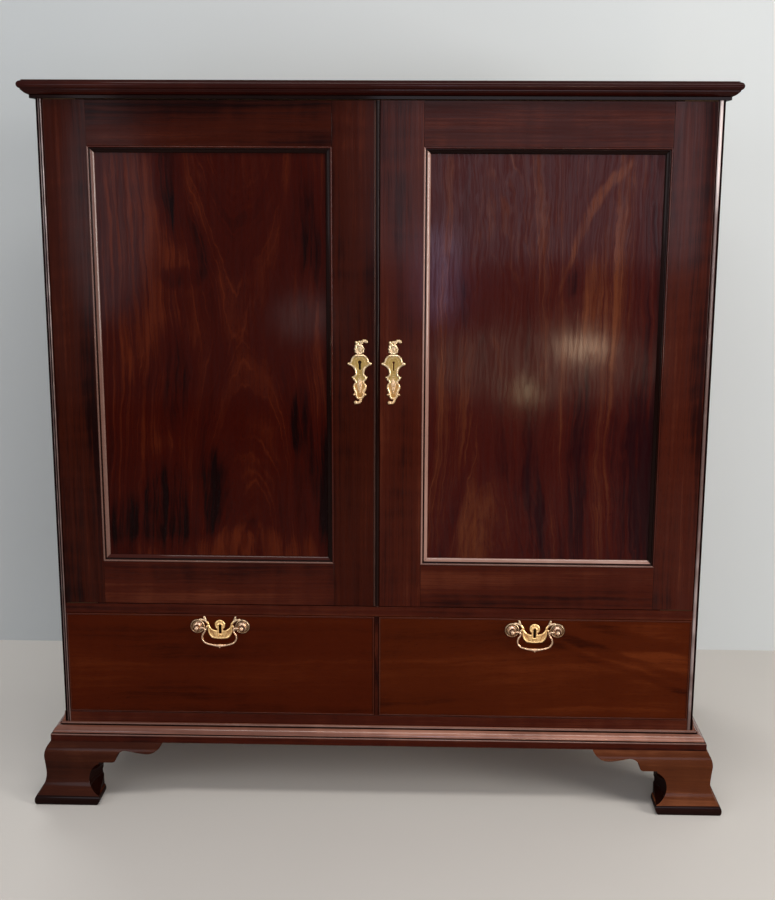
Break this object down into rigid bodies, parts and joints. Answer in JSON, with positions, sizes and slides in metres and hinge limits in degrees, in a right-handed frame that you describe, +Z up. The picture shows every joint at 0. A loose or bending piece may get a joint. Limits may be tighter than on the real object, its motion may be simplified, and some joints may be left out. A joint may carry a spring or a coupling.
{
  "type": "linen press",
  "caption": "Low mahogany linen press with panelled doors over short drawers, a cornice, a base moulding, ogee bracket feet and brass handles and key plates.",
  "frame": {"origin": "on the floor, under the middle of the space that the whole press takes up", "axes": "+X to the right seen from the front, +Y from the front to the back, +Z up"},
  "size_m": [1.358, 0.63, 1.395],
  "materials": {
    "mahogany_frame": "gloss",
    "mahogany_figured": "gloss",
    "mahogany_drawer": "gloss",
    "oak_lining": "matte",
    "pine_boards": "matte",
    "brass": "polished",
    "steel": "satin"
  },
  "bodies": {
    "carcass": {"side_left": "mahogany_frame", "side_right": "mahogany_frame", "top_board": "pine_boards", "cupboard_floor": "mahogany_frame", "bottom_board": "oak_lining", "base_rail": "mahogany_frame", "drawer_partition": "oak_lining", "back_boards": "pine_boards", "shelf_lower": "oak_lining", "shelf_upper": "oak_lining", "shelf_bearers": "oak_lining", "cornice": "mahogany_frame", "base_moulding": "mahogany_frame", "foot_front_left": "mahogany_frame", "foot_front_right": "mahogany_frame", "foot_back_left": "mahogany_frame", "foot_back_right": "mahogany_frame", "door_stops": "oak_lining", "hinge_pins": "brass"},
    "left_door": {"left_door_hinge_stile": "mahogany_frame", "left_door_meeting_stile": "mahogany_frame", "left_door_top_rail": "mahogany_frame", "left_door_bottom_rail": "mahogany_frame", "left_door_panel": "mahogany_figured", "left_door_moulding": "mahogany_frame", "left_door_astragal": "mahogany_frame", "left_door_escutcheon": "brass", "left_door_lock": "brass", "left_door_hinge_eyes": "brass"},
    "right_door": {"right_door_hinge_stile": "mahogany_frame", "right_door_meeting_stile": "mahogany_frame", "right_door_top_rail": "mahogany_frame", "right_door_bottom_rail": "mahogany_frame", "right_door_panel": "mahogany_figured", "right_door_moulding": "mahogany_frame", "right_door_escutcheon": "brass", "right_door_hinge_eyes": "brass"},
    "left_door_lock_bolt": {"left_door_lock_bolt": "steel"},
    "right_door_top_bolt": {"right_door_top_bolt": "brass"},
    "right_door_bottom_bolt": {"right_door_bottom_bolt": "brass"},
    "left_drawer": {"left_drawer_front": "mahogany_drawer", "left_drawer_left_side": "oak_lining", "left_drawer_right_side": "oak_lining", "left_drawer_back": "oak_lining", "left_drawer_bottom": "oak_lining", "left_drawer_lock": "brass", "left_drawer_backplate": "brass", "left_drawer_posts": "brass"},
    "left_drawer_lock_bolt": {"left_drawer_lock_bolt": "steel"},
    "left_drawer_bail": {"left_drawer_bail": "brass"},
    "right_drawer": {"right_drawer_front": "mahogany_drawer", "right_drawer_left_side": "oak_lining", "right_drawer_right_side": "oak_lining", "right_drawer_back": "oak_lining", "right_drawer_bottom": "oak_lining", "right_drawer_lock": "brass", "right_drawer_backplate": "brass", "right_drawer_posts": "brass"},
    "right_drawer_lock_bolt": {"right_drawer_lock_bolt": "steel"},
    "right_drawer_bail": {"right_drawer_bail": "brass"}
  },
  "joints": [
    {"name": "left_door_hinge", "type": "hinge", "parent": "carcass", "child": "left_door", "pos_m": [-0.606, -0.256, 0.883], "axis": [0, 0, -1], "range_deg": [0, 105]},
    {"name": "right_door_hinge", "type": "hinge", "parent": "carcass", "child": "right_door", "pos_m": [0.606, -0.256, 0.883], "axis": [0, 0, 1], "range_deg": [0, 105]},
    {"name": "left_door_lock", "type": "slide", "parent": "left_door", "child": "left_door_lock_bolt", "axis": [1, 0, 0], "range_m": [0, 0.009]},
    {"name": "right_door_top_slide", "type": "slide", "parent": "right_door", "child": "right_door_top_bolt", "axis": [0, 0, 1], "range_m": [0, 0.012]},
    {"name": "right_door_bottom_slide", "type": "slide", "parent": "right_door", "child": "right_door_bottom_bolt", "axis": [0, 0, -1], "range_m": [0, 0.012]},
    {"name": "left_drawer_slide", "type": "slide", "parent": "carcass", "child": "left_drawer", "axis": [0, -1, 0], "range_m": [0, 0.4]},
    {"name": "right_drawer_slide", "type": "slide", "parent": "carcass", "child": "right_drawer", "axis": [0, -1, 0], "range_m": [0, 0.4]},
    {"name": "left_drawer_key", "type": "slide", "parent": "left_drawer", "child": "left_drawer_lock_bolt", "axis": [0, 0, 1], "range_m": [0, 0.009]},
    {"name": "right_drawer_key", "type": "slide", "parent": "right_drawer", "child": "right_drawer_lock_bolt", "axis": [0, 0, 1], "range_m": [0, 0.009]},
    {"name": "left_bail_swing", "type": "hinge", "parent": "left_drawer", "child": "left_drawer_bail", "pos_m": [-0.3095, -0.273, 0.3595], "axis": [-1, 0, 0], "range_deg": [-8, 95]},
    {"name": "right_bail_swing", "type": "hinge", "parent": "right_drawer", "child": "right_drawer_bail", "pos_m": [0.308, -0.273, 0.3595], "axis": [-1, 0, 0], "range_deg": [-8, 95]}
  ]
}
